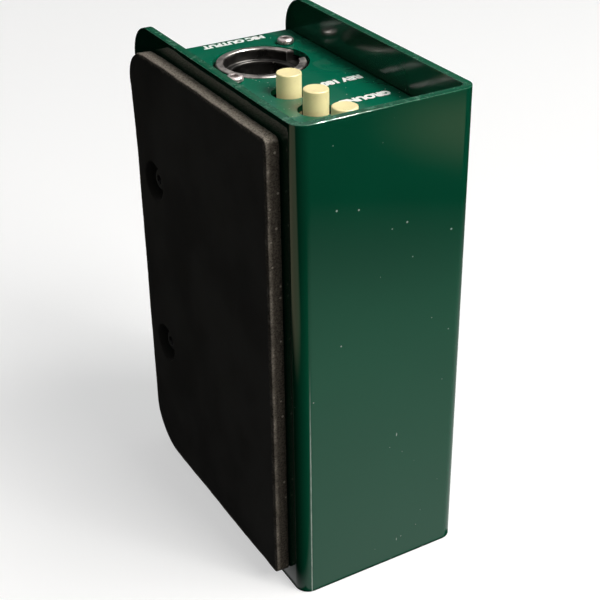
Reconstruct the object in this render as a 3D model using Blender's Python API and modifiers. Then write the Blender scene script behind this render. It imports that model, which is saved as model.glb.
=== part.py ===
"""Direct injection box: a passive instrument-to-balanced-line converter in a folded steel case.

The case stands on its input end. +Z runs along its length to the output panel, +Y is the side
where the cover is open, and -X is the base side, which carries the no-slip pad. The origin is the
centre of the footprint. Units are metres.
"""

import math

import bmesh
import bpy
from mathutils import Matrix, Vector

MM = 0.001
GAP = 0.3 * MM

# Cover: one sheet folded into a C that is open towards +Y.
LENGTH = 127.0 * MM
WIDTH = 84.0 * MM
COVER_BASE_X = -21.5 * MM
COVER_TOP_X = 25.0 * MM
COVER_T = 2.1 * MM
COVER_BEND_R = 3.6 * MM
COVER_CORNER_R = 9.0 * MM

# Inner chassis: output panel, side wall, input panel and a mounting flange.
RECESS = 9.5 * MM
CHASSIS_T = 1.5 * MM
CHASSIS_BEND_R = 2.4 * MM
CHASSIS_X0 = COVER_BASE_X + COVER_T + GAP
CHASSIS_X1 = COVER_TOP_X - COVER_T - GAP
CHASSIS_Y0 = -WIDTH / 2 + COVER_T + GAP
CHASSIS_Y1 = WIDTH / 2 - GAP
OUT_Z = LENGTH - RECESS
IN_Z = RECESS
FLANGE_Y0 = -16.0 * MM
FLANGE_Z = (24.0 * MM, 103.0 * MM)

# Pad on the base side.
PAD_X = (-25.0 * MM, COVER_BASE_X - GAP)
PAD_Y = (-35.3 * MM, 36.2 * MM)
PAD_Z = (3.8 * MM, 122.8 * MM)
PAD_R_NEAR = 1.6 * MM
PAD_R_FAR_TOP = 9.0 * MM
PAD_R_FAR_FOOT = 12.5 * MM
PAD_HOLE_R = 5.2 * MM

# Cover screws, reached through the pad.
COVER_SCREW_Y = 26.5 * MM
COVER_SCREW_Z = (40.0 * MM, 89.0 * MM)
COVER_SCREW_HEAD = (3.0 * MM, 1.9 * MM)
SHANK_R = 1.45 * MM
CLEAR_R = 1.8 * MM

# Balanced output connector, whose ring stands level with the output panel.
XLR_X = 4.0 * MM
XLR_Y = 20.8 * MM
XLR_R = 11.6 * MM
XLR_HOLE_R = 12.4 * MM
XLR_BORE_R = 9.65 * MM
XLR_CUP_R = 7.8 * MM
XLR_CUP_WALL = 1.6 * MM
XLR_TOP = OUT_Z + 0.1 * MM
XLR_STEP_Z = OUT_Z - 2.9 * MM
XLR_FLOOR_Z = OUT_Z - 15.6 * MM
XLR_BOTTOM_Z = OUT_Z - 22.5 * MM
XLR_FLANGE_Z = (OUT_Z - CHASSIS_T - GAP - 2.4 * MM, OUT_Z - CHASSIS_T - GAP)
XLR_FLANGE_HALF = (15.3 * MM, 13.0 * MM)
XLR_KEY_X = (8.4 * MM, 13.0 * MM)
XLR_KEY_HALF_Y = 3.0 * MM
XLR_PIN_R = 1.2 * MM
XLR_PIN_CIRCLE = 4.6 * MM
XLR_PIN_ANGLES = (60.0, -60.0, 180.0)
XLR_PIN_TOP = OUT_Z - 6.4 * MM
XLR_SCREW_HEAD = (2.2 * MM, 1.25 * MM)
XLR_SCREW_DX = 12.2 * MM
XLR_SCREW_DY = 9.2 * MM

# Push buttons: a round cap on a square stem that slides into its switch.
BUTTON_X = -0.65 * MM
BUTTON_R = 3.05 * MM
BUTTON_PROUD = 5.2 * MM
BUTTON_CAP = 10.7 * MM
BUTTON_STEM = 7.0 * MM
BUTTON_STEM_W = 3.0 * MM
BUTTON_HOLE_R = 4.4 * MM
BUTTON_PITCH = 12.7 * MM
OUT_BUTTONS = (
    ("polarity_button", -2.0 * MM),
    ("ground_lift_button", -2.0 * MM - BUTTON_PITCH),
    ("speaker_button", -2.0 * MM - 2 * BUTTON_PITCH),
)
IN_BUTTONS = (
    ("pad_button", -16.2 * MM),
    ("merge_button", -16.2 * MM - BUTTON_PITCH),
)
SWITCH_W = 8.2 * MM
SWITCH_Z = (9.5 * MM, 23.5 * MM)
SWITCH_WELL_W = 3.8 * MM
SWITCH_WELL = 11.2 * MM

# Quarter-inch jacks on the input panel.
JACKS = (("input_jack", 24.5 * MM), ("thru_jack", 2.5 * MM))
JACK_X = 3.5 * MM
JACK_BODY = (15.4 * MM, 16.6 * MM)
JACK_BODY_Z = (IN_Z + CHASSIS_T + GAP, 37.0 * MM)
JACK_SLEEVE_R = 4.5 * MM
JACK_BORE_R = 3.3 * MM
JACK_TIP_Z = 32.5 * MM
JACK_MOUTH_Z = 4.6 * MM
JACK_HOLE_R = 4.85 * MM
JACK_WASHER = (6.9 * MM, 0.6 * MM)
JACK_NUT = (6.35 * MM, 2.2 * MM)

# Main board and what it carries.
BOARD_X = (-7.1 * MM, -5.5 * MM)
BOARD_Y = (-37.4 * MM, 38.4 * MM)
BOARD_Z = (13.4 * MM, 112.6 * MM)
BOARD_NOTCH = (5.6 * MM, 90.5 * MM)
STANDOFF_YZ = (
    (-12.0 * MM, 46.0 * MM),
    (34.6 * MM, 46.0 * MM),
    (-12.0 * MM, 88.0 * MM),
    (34.6 * MM, 76.0 * MM),
)
STANDOFF_R = 2.9 * MM
BOARD_SCREW_HEAD = (2.7 * MM, 1.9 * MM)

# Transformer can and the strap over it.
CAN_XY = (8.0 * MM, 11.0 * MM)
CAN_R = 13.0 * MM
CAN_Z = (45.5 * MM, 82.5 * MM)
STRAP_T = 0.9 * MM
STRAP_HALF_Z = 4.5 * MM
STRAP_FOOT = 6.0 * MM

# Film capacitors and resistors.
FILM_DEPTH = 11.0 * MM
FILM_Y = (-33.0 * MM, -20.0 * MM)
FILM_Z = ((52.5 * MM, 59.5 * MM), (68.5 * MM, 75.5 * MM))
RESISTOR_R = 1.25 * MM
RESISTOR_LENGTH = 6.6 * MM
RESISTOR_Y = (-35.0 * MM, -31.0 * MM, -23.0 * MM, -19.0 * MM)
RESISTOR_Z = 40.5 * MM


def clear_scene():
    for obj in list(bpy.data.objects):
        bpy.data.objects.remove(obj, do_unlink=True)


def collection(name, hidden=False):
    made = bpy.data.collections.new(name)
    bpy.context.scene.collection.children.link(made)
    made.hide_render = hidden
    return made


clear_scene()
PARTS = collection("direct_injection_box")
CUTTERS = collection("cutters", hidden=True)


def material(name, color, roughness, metallic=0.0):
    mat = bpy.data.materials.new(name)
    mat.use_nodes = True
    shader = mat.node_tree.nodes["Principled BSDF"]
    shader.inputs["Base Color"].default_value = (*color, 1.0)
    shader.inputs["Roughness"].default_value = roughness
    shader.inputs["Metallic"].default_value = metallic
    return mat


def adopt(obj, name, finish):
    """Names the object and gives it its finish. An object with no finish is a cutter."""
    obj.name = name
    for old in list(obj.users_collection):
        old.objects.unlink(obj)
    if finish:
        PARTS.objects.link(obj)
        obj.data.materials.clear()
        obj.data.materials.append(MATS[finish])
    else:
        CUTTERS.objects.link(obj)
        obj.hide_render = True
        obj.display_type = "WIRE"
    return obj


def box(name, x, y, z, finish=None):
    bpy.ops.mesh.primitive_cube_add(size=1.0)
    obj = adopt(bpy.context.object, name, finish)
    size = Matrix.Diagonal((x[1] - x[0], y[1] - y[0], z[1] - z[0], 1.0))
    middle = ((x[0] + x[1]) / 2, (y[0] + y[1]) / 2, (z[0] + z[1]) / 2)
    obj.data.transform(Matrix.Translation(middle) @ size)
    return obj


AXES = {
    "Z": Matrix.Identity(4),
    "X": Matrix.Rotation(math.radians(90), 4, "Y"),
}


def rod(name, r, start, length, axis="Z", seg=32, finish=None):
    """A cylinder from start, length long along +axis."""
    bpy.ops.mesh.primitive_cylinder_add(vertices=seg, radius=r, depth=length)
    obj = adopt(bpy.context.object, name, finish)
    lift = Matrix.Translation((0, 0, length / 2))
    obj.data.transform(Matrix.Translation(start) @ AXES[axis] @ lift)
    return obj


def boolean(obj, other, operation="DIFFERENCE"):
    mod = obj.modifiers.new(f"{operation.lower()}_{len(obj.modifiers)}", "BOOLEAN")
    mod.operation = operation
    mod.solver = "EXACT"
    mod.object = other
    return obj


def join(obj, other):
    """Adds another shape to the object, which stays one closed body."""
    return boolean(obj, other, "UNION")


def cross_hole(obj, name, y, z, start_x, length):
    """A clearance hole along X."""
    return boolean(obj, rod(name, CLEAR_R, (start_x, y, z), length, "X", 20))


def from_bmesh(name, bm, finish):
    mesh = bpy.data.meshes.new(name)
    bm.to_mesh(mesh)
    bm.free()
    return adopt(bpy.data.objects.new(name, mesh), name, finish)


def turned(name, profile, centre, seg=48, finish=None):
    """Turns a closed profile of (radius, height) points about the Z axis through centre."""
    bm = bmesh.new()
    verts = [bm.verts.new((r, 0.0, h)) for r, h in profile]
    closed = profile[0][0] > 1e-9
    pairs = list(zip(verts, verts[1:])) + ([(verts[-1], verts[0])] if closed else [])
    for a, b in pairs:
        bm.edges.new((a, b))
    obj = from_bmesh(name, bm, finish)
    mod = obj.modifiers.new("turn", "SCREW")
    mod.axis = "Z"
    mod.steps = seg
    mod.render_steps = seg
    mod.use_merge_vertices = True
    mod.merge_threshold = 0.000001
    obj.location = centre
    return obj


def arc(cx, cy, r, a0, a1, steps):
    """Points of an arc, angles in degrees."""
    turns = [math.radians(a0 + (a1 - a0) * i / steps) for i in range(steps + 1)]
    return [(cx + r * math.cos(a), cy + r * math.sin(a)) for a in turns]


# Each places a point (a, b) of a flat outline at height h.
PLANES = {
    "YZ": lambda a, b, h: Vector((h, a, b)),
    "XY": lambda a, b, h: Vector((a, b, h)),
}


def lift_copy(bm, grown, step):
    moved = [v for v in grown["geom"] if isinstance(v, bmesh.types.BMVert)]
    bmesh.ops.translate(bm, vec=step, verts=moved)


def plate(name, outline, low, high, plane, finish=None):
    """A prism with a flat outline: bmesh makes its face, and an extrusion its thickness."""
    place = PLANES[plane]
    bm = bmesh.new()
    face = bm.faces.new([bm.verts.new(place(a, b, low)) for a, b in outline])
    grown = bmesh.ops.extrude_face_region(bm, geom=[face])
    lift_copy(bm, grown, place(0, 0, high) - place(0, 0, low))
    bmesh.ops.recalc_face_normals(bm, faces=bm.faces)
    return from_bmesh(name, bm, finish)


def folded_sheet(name, path, low, high, thickness, plane, finish):
    """A sheet folded along a path: an open ribbon with Solidify. The path follows its outer face."""
    place = PLANES[plane]
    bm = bmesh.new()
    line = [bm.verts.new(place(a, b, low)) for a, b in path]
    edges = [bm.edges.new((a, b)) for a, b in zip(line, line[1:])]
    grown = bmesh.ops.extrude_edge_only(bm, edges=edges)
    lift_copy(bm, grown, place(0, 0, high) - place(0, 0, low))
    obj = from_bmesh(name, bm, finish)
    mod = obj.modifiers.new("thickness", "SOLIDIFY")
    mod.thickness = thickness
    mod.offset = -1.0
    mod.use_even_offset = True
    return obj


def rounded_rect(a0, a1, b0, b1, radii, steps=8):
    """Outline with a radius for each corner, in the order low-low, high-low, high-high, low-high."""
    corners = ((a0, b0, 180), (a1, b0, 270), (a1, b1, 0), (a0, b1, 90))
    points = []
    for (a, b, start), r in zip(corners, radii):
        if r <= 0:
            points.append((a, b))
            continue
        ca = a + r if a == a0 else a - r
        cb = b + r if b == b0 else b - r
        points += arc(ca, cb, r, start, start + 90, steps)
    return points


GREEN = (0.006, 0.085, 0.052)
MATS = {
    "cover_enamel": material("cover_enamel", GREEN, 0.22),
    "panel_enamel": material("panel_enamel", (0.004, 0.115, 0.07), 0.2),
    "pad_rubber": material("pad_rubber", (0.012, 0.011, 0.01), 0.9),
    "screw_black": material("screw_black", (0.02, 0.02, 0.02), 0.35, 1.0),
    "connector_metal": material("connector_metal", (0.09, 0.08, 0.08), 0.35, 1.0),
    "insert_black": material("insert_black", (0.015, 0.015, 0.015), 0.45),
    "pin_silver": material("pin_silver", (0.8, 0.78, 0.72), 0.2, 1.0),
    "screw_silver": material("screw_silver", (0.75, 0.68, 0.66), 0.22, 1.0),
    "button_cream": material("button_cream", (0.83, 0.72, 0.36), 0.35),
    "switch_grey": material("switch_grey", (0.18, 0.18, 0.19), 0.4),
    "jack_black": material("jack_black", (0.02, 0.02, 0.02), 0.4),
    "nut_nickel": material("nut_nickel", (0.72, 0.7, 0.66), 0.25, 1.0),
    "board_green": material("board_green", (0.01, 0.14, 0.05), 0.4),
    "standoff_brass": material("standoff_brass", (0.75, 0.6, 0.3), 0.3, 1.0),
    "can_metal": material("can_metal", (0.62, 0.62, 0.64), 0.3, 1.0),
    "film_red": material("film_red", (0.45, 0.05, 0.03), 0.35),
    "resistor_blue": material("resistor_blue", (0.12, 0.3, 0.5), 0.4),
}


def make_cover():
    x0, x1, r = COVER_BASE_X, COVER_TOP_X, COVER_BEND_R
    y0, y1 = -WIDTH / 2, WIDTH / 2
    left_bend = arc(x0 + r, y0 + r, r, 180, 270, 6)
    right_bend = arc(x1 - r, y0 + r, r, 270, 360, 6)
    path = [(x0, y1)] + left_bend + right_bend + [(x1, y1)]
    cover = folded_sheet("outer_shell", path[::-1], 0.0, LENGTH, COVER_T, "XY", "cover_enamel")
    outline = rounded_rect(y0 - 4 * MM, y1, 0.0, LENGTH, (0, COVER_CORNER_R, COVER_CORNER_R, 0), 9)
    boolean(cover, plate("cover_outline", outline, x0 - 4 * MM, x1 + 4 * MM, "YZ"), "INTERSECT")
    for i, z in enumerate(COVER_SCREW_Z):
        cross_hole(cover, f"cover_hole_{i}", COVER_SCREW_Y, z, x0 - 2 * MM, COVER_T + 4 * MM)


def panel_holes():
    """Name, radius, x, y, panel height and sides of each round hole in the two panels."""
    yield "xlr", XLR_HOLE_R, XLR_X, XLR_Y, OUT_Z, 48
    for side in (-1, 1):
        at = (XLR_X + side * XLR_SCREW_DX, XLR_Y + side * XLR_SCREW_DY)
        yield f"xlr_screw_{side}", CLEAR_R, *at, OUT_Z, 20
    for z, group in ((OUT_Z, OUT_BUTTONS), (IN_Z, IN_BUTTONS)):
        for name, y in group:
            yield name, BUTTON_HOLE_R, BUTTON_X, y, z, 28
    for name, y in JACKS:
        yield name, JACK_HOLE_R, JACK_X, y, IN_Z, 32


def make_chassis():
    t, r = CHASSIS_T, CHASSIS_BEND_R
    path = (
        [(CHASSIS_Y0, OUT_Z)]
        + arc(CHASSIS_Y1 - r, OUT_Z - r, r, 90, 0, 5)
        + arc(CHASSIS_Y1 - r, IN_Z + r, r, 0, -90, 5)
        + [(CHASSIS_Y0, IN_Z)]
    )
    chassis = folded_sheet("chassis", path, CHASSIS_X0, CHASSIS_X1, t, "YZ", "panel_enamel")
    flange_x = (CHASSIS_X0, CHASSIS_X0 + t)
    join(chassis, box("flange_blank", flange_x, (FLANGE_Y0, CHASSIS_Y1 - 0.5 * t), FLANGE_Z))
    # The near corners clear the inside of the cover's bends.
    near_r = COVER_BEND_R - COVER_T + 0.4 * MM
    near_radii = (near_r, near_r, 0, 0)
    outline = rounded_rect(CHASSIS_X0, CHASSIS_X1, CHASSIS_Y0, CHASSIS_Y1 + 3 * MM, near_radii, 4)
    trim = plate("chassis_outline", outline, -5 * MM, LENGTH + 5 * MM, "XY")
    boolean(chassis, trim, "INTERSECT")
    for name, hole_r, x, y, z, seg in panel_holes():
        boolean(chassis, rod(f"hole_{name}", hole_r, (x, y, z - 4 * MM), 8 * MM, "Z", seg))
    for i, z in enumerate(COVER_SCREW_Z):
        cross_hole(chassis, f"tap_{i}", COVER_SCREW_Y, z, CHASSIS_X0 - 2 * MM, t + 4 * MM)


def make_pad():
    radii = (PAD_R_NEAR, PAD_R_FAR_FOOT, PAD_R_FAR_TOP, PAD_R_NEAR)
    pad = plate("no_slip_pad", rounded_rect(*PAD_Y, *PAD_Z, radii, 8), *PAD_X, "YZ", "pad_rubber")
    for i, z in enumerate(COVER_SCREW_Z):
        start = (PAD_X[0] - 2 * MM, COVER_SCREW_Y, z)
        boolean(pad, rod(f"pad_hole_{i}", PAD_HOLE_R, start, 8 * MM, "X", 32))


def screw(name, head, length, seat, finish, turn=0.0):
    """A machine screw with a hex socket, its head's underside at seat, turned about Y in degrees."""
    head_r, head_h = head
    socket_r, socket_z = head_r * 0.42, head_h * 0.45
    top = [(0.0, socket_z), (socket_r, socket_z), (socket_r, head_h), (head_r * 0.62, head_h)]
    side = [(head_r * 0.9, head_h * 0.72), (head_r, head_h * 0.35), (head_r, 0.0), (SHANK_R, 0.0)]
    tip = [(SHANK_R, 0.4 * MM - length), (SHANK_R - 0.35 * MM, -length), (0.0, -length)]
    made = turned(name, top + side + tip, seat, 18, finish)
    made.rotation_euler = (0.0, math.radians(turn), 0.0)


def make_cover_screws():
    for i, z in enumerate(COVER_SCREW_Z):
        seat = (COVER_BASE_X - GAP, COVER_SCREW_Y, z)
        screw(f"shell_screw_{i + 1}", COVER_SCREW_HEAD, 6.4 * MM, seat, "screw_black", -90)


def make_xlr_housing():
    """A ring on a narrower cup, turned, with a flange for its two screws and a slot for the plug's key."""
    shoulder = XLR_FLANGE_Z[0] + 0.3 * MM
    cup_outer = XLR_CUP_R + XLR_CUP_WALL
    edge = 0.35 * MM
    profile = [
        (XLR_BORE_R, XLR_TOP),
        (XLR_BORE_R, XLR_STEP_Z),
        (XLR_CUP_R, XLR_STEP_Z),
        (XLR_CUP_R, XLR_BOTTOM_Z),
        (cup_outer, XLR_BOTTOM_Z),
        (cup_outer, shoulder),
        (XLR_R, shoulder),
        (XLR_R, XLR_TOP - edge),
        (XLR_R - edge, XLR_TOP),
    ]
    housing = turned("xlr_housing", profile[::-1], (XLR_X, XLR_Y, 0.0), 48, "connector_metal")
    half_x, half_y = XLR_FLANGE_HALF
    outline = rounded_rect(
        XLR_X - half_x, XLR_X + half_x, XLR_Y - half_y, XLR_Y + half_y, (3 * MM,) * 4, 4
    )
    flange = plate("xlr_flange_blank", outline, *XLR_FLANGE_Z, "XY")
    below = XLR_FLANGE_Z[0] - 3 * MM
    boolean(flange, rod("xlr_flange_bore", XLR_R - 0.6 * MM, (XLR_X, XLR_Y, below), 9 * MM, "Z", 48))
    join(housing, flange)
    for side in (-1, 1):
        at = (XLR_X + side * XLR_SCREW_DX, XLR_Y + side * XLR_SCREW_DY, below)
        boolean(housing, rod(f"xlr_tap_{side}", CLEAR_R, at, 9 * MM, "Z", 20))
    key_x = (XLR_X + XLR_KEY_X[0], XLR_X + XLR_KEY_X[1])
    key_y = (XLR_Y - XLR_KEY_HALF_Y, XLR_Y + XLR_KEY_HALF_Y)
    key_z = (XLR_STEP_Z + 0.3 * MM, XLR_TOP + 2 * MM)
    boolean(housing, box("xlr_key_slot", key_x, key_y, key_z))


def make_xlr_contacts():
    base, r = XLR_BOTTOM_Z + 0.6 * MM, XLR_CUP_R - GAP
    start = (XLR_X, XLR_Y, base)
    insert = rod("xlr_insert", r, start, XLR_FLOOR_Z - base, "Z", 40, "insert_black")
    foot = XLR_BOTTOM_Z - 2.5 * MM
    profile = [
        (0.0, XLR_PIN_TOP),
        (XLR_PIN_R * 0.6, XLR_PIN_TOP - 0.25 * MM),
        (XLR_PIN_R, XLR_PIN_TOP - 1.1 * MM),
        (XLR_PIN_R, foot),
        (0.0, foot),
    ]
    for i, angle in enumerate(XLR_PIN_ANGLES):
        px = XLR_X + XLR_PIN_CIRCLE * math.cos(math.radians(angle))
        py = XLR_Y + XLR_PIN_CIRCLE * math.sin(math.radians(angle))
        seat = (px, py, XLR_BOTTOM_Z - 2 * MM)
        boolean(insert, rod(f"pin_seat_{i}", XLR_PIN_R + GAP, seat, 14 * MM, "Z", 16))
        turned(f"xlr_pin_{i + 1}", profile, (px, py, 0.0), 14, "pin_silver")


def make_xlr_screws():
    for i, side in enumerate((-1, 1)):
        seat = (XLR_X + side * XLR_SCREW_DX, XLR_Y + side * XLR_SCREW_DY, OUT_Z + GAP)
        screw(f"xlr_screw_{i + 1}", XLR_SCREW_HEAD, 6.0 * MM, seat, "screw_silver")


def make_button(name, y, panel_z, up):
    """The cap and stem, with the object's origin on the cap's face, on the slide axis."""
    s = 1.0 if up else -1.0
    edge = 0.25 * MM
    side = [(BUTTON_R, -edge), (BUTTON_R, -BUTTON_CAP), (0.0, -BUTTON_CAP)]
    face = (BUTTON_X, y, panel_z + s * BUTTON_PROUD)
    cap = turned(name, [(0.0, 0.0), (BUTTON_R - edge, 0.0)] + side, face, 28, "button_cream")
    if not up:
        cap.rotation_euler = (math.pi, 0.0, 0.0)
    base = panel_z + s * (BUTTON_PROUD - BUTTON_CAP)
    ends = sorted((base + s * 0.8 * MM, base - s * BUTTON_STEM))
    half = BUTTON_STEM_W / 2
    join(cap, box(f"{name}_stem", (BUTTON_X - half, BUTTON_X + half), (y - half, y + half), ends))


def make_switch(name, y, panel_z, up):
    s = 1.0 if up else -1.0
    near, far = panel_z - s * SWITCH_Z[0], panel_z - s * SWITCH_Z[1]
    half, well = SWITCH_W / 2, SWITCH_WELL_W / 2
    body_x = (BUTTON_X - half, BUTTON_X + half)
    body = box(name, body_x, (y - half, y + half), sorted((near, far)), "switch_grey")
    ends = sorted((near + s * 2 * MM, near - s * SWITCH_WELL))
    boolean(body, box(f"{name}_well", (BUTTON_X - well, BUTTON_X + well), (y - well, y + well), ends))


def make_controls():
    for panel_z, up, group in ((OUT_Z, True, OUT_BUTTONS), (IN_Z, False, IN_BUTTONS)):
        for name, y in group:
            make_button(name, y, panel_z, up)
            make_switch(name.replace("button", "switch"), y, panel_z, up)


def make_jack(name, y):
    w, h = JACK_BODY
    body_x = (JACK_X - h / 2, JACK_X + h / 2)
    body = box(name, body_x, (y - w / 2, y + w / 2), JACK_BODY_Z, "jack_black")
    sleeve = JACK_BODY_Z[0] - JACK_MOUTH_Z + 1 * MM
    join(body, rod(f"{name}_sleeve", JACK_SLEEVE_R, (JACK_X, y, JACK_MOUTH_Z), sleeve))
    below = JACK_MOUTH_Z - 2 * MM
    boolean(body, rod(f"{name}_bore", JACK_BORE_R, (JACK_X, y, below), JACK_TIP_Z - below))


def make_jack_hardware(name, y):
    """The washer and the hex nut that hold a jack's sleeve to the panel."""
    top = IN_Z - GAP
    inner = JACK_SLEEVE_R + GAP
    for part, (r, t), seg in (("washer", JACK_WASHER, 32), ("nut", JACK_NUT, 6)):
        low = top - t
        made = rod(name.replace("jack", part), r, (JACK_X, y, low), t, "Z", seg, "nut_nickel")
        boolean(made, rod(f"{name}_{part}_bore", inner, (JACK_X, y, low - 2 * MM), t + 4 * MM))
        top = low - GAP


def make_board():
    y0, y1 = BOARD_Y
    z0, z1 = BOARD_Z
    ny, nz = BOARD_NOTCH
    outline = [(y0, z0), (y1, z0), (y1, nz), (ny, nz), (ny, z1), (y0, z1)]
    board = plate("main_board", outline, *BOARD_X, "YZ", "board_green")
    low, high = CHASSIS_X0 + CHASSIS_T + GAP, BOARD_X[0] - GAP
    for i, (y, z) in enumerate(STANDOFF_YZ):
        cross_hole(board, f"board_hole_{i}", y, z, BOARD_X[0] - 2 * MM, 6 * MM)
        name = f"standoff_{i + 1}"
        standoff = rod(name, STANDOFF_R, (low, y, z), high - low, "X", 6, "standoff_brass")
        cross_hole(standoff, f"{name}_bore", y, z, high - 6.2 * MM, 9 * MM)
        seat = (BOARD_X[1] + GAP, y, z)
        screw(f"board_screw_{i + 1}", BOARD_SCREW_HEAD, 7.2 * MM, seat, "screw_silver", 90)


def make_transformer():
    (cx, cy), r, (z0, z1) = CAN_XY, CAN_R, CAN_Z
    b = 1.2 * MM
    half_edge = [(r - b, 0.0), (r - b * 0.3, b * 0.3), (r, b)]
    top = [(a, z1 - h) for a, h in half_edge]
    bottom = [(a, z0 + h) for a, h in half_edge[::-1]]
    turned("transformer_can", [(0.0, z1)] + top + bottom + [(0.0, z0)], (cx, cy, 0.0), 36, "can_metal")
    inner = r + GAP
    outer = inner + STRAP_T
    foot = BOARD_X[1] + GAP
    back = foot + STRAP_T
    reach = outer + STRAP_FOOT
    outline = (
        [(foot, cy + reach), (back, cy + reach), (back, cy + outer)]
        + arc(cx, cy, outer, 90, -90, 18)
        + [(back, cy - outer), (back, cy - reach), (foot, cy - reach), (foot, cy - inner)]
        + arc(cx, cy, inner, -90, 90, 18)
        + [(foot, cy + inner)]
    )
    middle = (z0 + z1) / 2
    ends = (middle - STRAP_HALF_Z, middle + STRAP_HALF_Z)
    plate("transformer_strap", outline, *ends, "XY", "nut_nickel")


def make_components():
    base = BOARD_X[1] + GAP
    for i, film_z in enumerate(FILM_Z):
        box(f"film_capacitor_{i + 1}", (base, base + FILM_DEPTH), FILM_Y, film_z, "film_red")
    for i, y in enumerate(RESISTOR_Y):
        start = (base + RESISTOR_R + 0.05 * MM, y, RESISTOR_Z)
        rod(f"resistor_{i + 1}", RESISTOR_R, start, RESISTOR_LENGTH, "Z", 16, "resistor_blue")


make_cover()
make_chassis()
make_pad()
make_cover_screws()
make_xlr_housing()
make_xlr_contacts()
make_xlr_screws()
make_controls()
for jack_name, jack_y in JACKS:
    make_jack(jack_name, jack_y)
    make_jack_hardware(jack_name, jack_y)
make_board()
make_transformer()
make_components()
bpy.context.view_layer.update()
for part in PARTS.objects:
    if part.type == "MESH":
        part.data.shade_smooth()
        part.data.set_sharp_from_angle(angle=math.radians(30))
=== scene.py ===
"""Visual model of the direct injection box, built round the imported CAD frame. Units are metres."""

import math

import bmesh
import bpy
import numpy as np
from mathutils import Matrix, Vector, noise


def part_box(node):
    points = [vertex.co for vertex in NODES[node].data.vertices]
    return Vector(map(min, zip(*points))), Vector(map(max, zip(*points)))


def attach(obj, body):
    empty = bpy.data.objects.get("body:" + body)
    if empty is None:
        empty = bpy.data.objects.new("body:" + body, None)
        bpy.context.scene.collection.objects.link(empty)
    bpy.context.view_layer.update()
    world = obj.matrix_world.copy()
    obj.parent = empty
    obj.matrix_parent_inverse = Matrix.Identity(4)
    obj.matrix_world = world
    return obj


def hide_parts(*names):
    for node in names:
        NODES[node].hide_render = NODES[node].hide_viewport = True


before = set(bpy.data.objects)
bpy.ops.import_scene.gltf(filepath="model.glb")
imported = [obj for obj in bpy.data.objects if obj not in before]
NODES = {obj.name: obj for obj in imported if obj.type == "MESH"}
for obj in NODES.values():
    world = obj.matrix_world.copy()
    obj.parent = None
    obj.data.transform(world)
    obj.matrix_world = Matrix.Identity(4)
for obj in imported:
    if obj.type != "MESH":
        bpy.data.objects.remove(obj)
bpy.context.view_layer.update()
MM = 0.001
GAP = 0.3 * MM  # left between pieces that touch
CASE = "case"


def span(node):
    """Lowest and highest corner of a CAD node, as vectors."""
    low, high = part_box(node)
    return Vector(low), Vector(high)


def middle(node):
    low, high = span(node)
    return (low + high) / 2


# What the frame gives
SHELL_LO, SHELL_HI = span("outer_shell")
SHELL_MID, SHELL_HALF = (SHELL_LO + SHELL_HI) / 2, (SHELL_HI - SHELL_LO) / 2
CHASSIS_LO, CHASSIS_HI = span("chassis")
PAD_LO, PAD_HI = span("no_slip_pad")
OUT_Z, IN_Z = CHASSIS_HI.z, CHASSIS_LO.z  # outer faces of the output panel and the input panel
COVER_SCREWS = [middle(f"shell_screw_{i}") for i in (1, 2)]
SOCKET = middle("xlr_insert")
OUT_BUTTONS = ("polarity_button", "ground_lift_button", "speaker_button")
IN_BUTTONS = ("pad_button", "merge_button")
JACKS = ("input_jack", "thru_jack")

# Steel work
SHEET = 2.1 * MM
BEND_R = 3.6 * MM
CORNER_R = 9.0 * MM
COVER_EDGE_R = 0.55 * MM
CREASE_X = -18.7 * MM  # pale line along the cover's near fold
PANEL_T = 1.5 * MM
PANEL_BEND_R = 2.4 * MM
PANEL_CORNER_R = 1.9 * MM
PANEL_EDGE_R = 0.22 * MM
TAB_Y0 = -16.0 * MM
TAB_Z = (24.0 * MM, 103.0 * MM)
SOCKET_HOLE_R = 12.4 * MM
BUTTON_HOLE_R = 4.4 * MM
JACK_HOLE_R = 4.85 * MM
SCREW_HOLE_R = 1.8 * MM

# Pad, and the printed words beside the buttons
PAD_HOLE_R = 5.2 * MM
PAD_LIFT = 0.8 * MM
LEGEND_X = 19.9 * MM

MADE = bpy.data.collections.new("visual")
bpy.context.scene.collection.children.link(MADE)
SCRATCH = []  # cutters, removed at the end


# ---------------------------------------------------------------- mesh tools


def link(name, mesh):
    obj = bpy.data.objects.new(name, mesh)
    MADE.objects.link(obj)
    return obj


def from_bm(name, bm):
    mesh = bpy.data.meshes.new(name)
    bmesh.ops.recalc_face_normals(bm, faces=bm.faces)
    bm.to_mesh(mesh)
    bm.free()
    return link(name, mesh)


def boolean(obj, other, operation="DIFFERENCE"):
    mod = obj.modifiers.new(operation.lower(), "BOOLEAN")
    mod.operation = operation
    mod.solver = "EXACT"
    mod.object = other
    other.hide_render = True
    SCRATCH.append(other)


def bevel(obj, width, segments, angle=35.0):
    mod = obj.modifiers.new("bevel", "BEVEL")
    mod.width = width
    mod.segments = segments
    mod.limit_method = "ANGLE"
    mod.angle_limit = math.radians(angle)
    mod.use_clamp_overlap = True
    mod.harden_normals = False


def bake(obj, weighted=True):
    """Applies every modifier, and leaves smooth shading whose normals follow the large faces."""
    obj.data.shade_smooth()
    if weighted:
        mod = obj.modifiers.new("normals", "WEIGHTED_NORMAL")
        mod.weight = 60
        mod.keep_sharp = True
    bpy.context.view_layer.update()
    graph = bpy.context.evaluated_depsgraph_get()
    mesh = bpy.data.meshes.new_from_object(obj.evaluated_get(graph))
    old = obj.data
    obj.modifiers.clear()
    obj.data = mesh
    bpy.data.meshes.remove(old)
    mesh.name = obj.name
    return obj


def arc(cx, cy, r, a0, a1, steps):
    angles = [math.radians(a0 + (a1 - a0) * i / steps) for i in range(steps + 1)]
    return [(cx + r * math.cos(a), cy + r * math.sin(a)) for a in angles]


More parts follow.
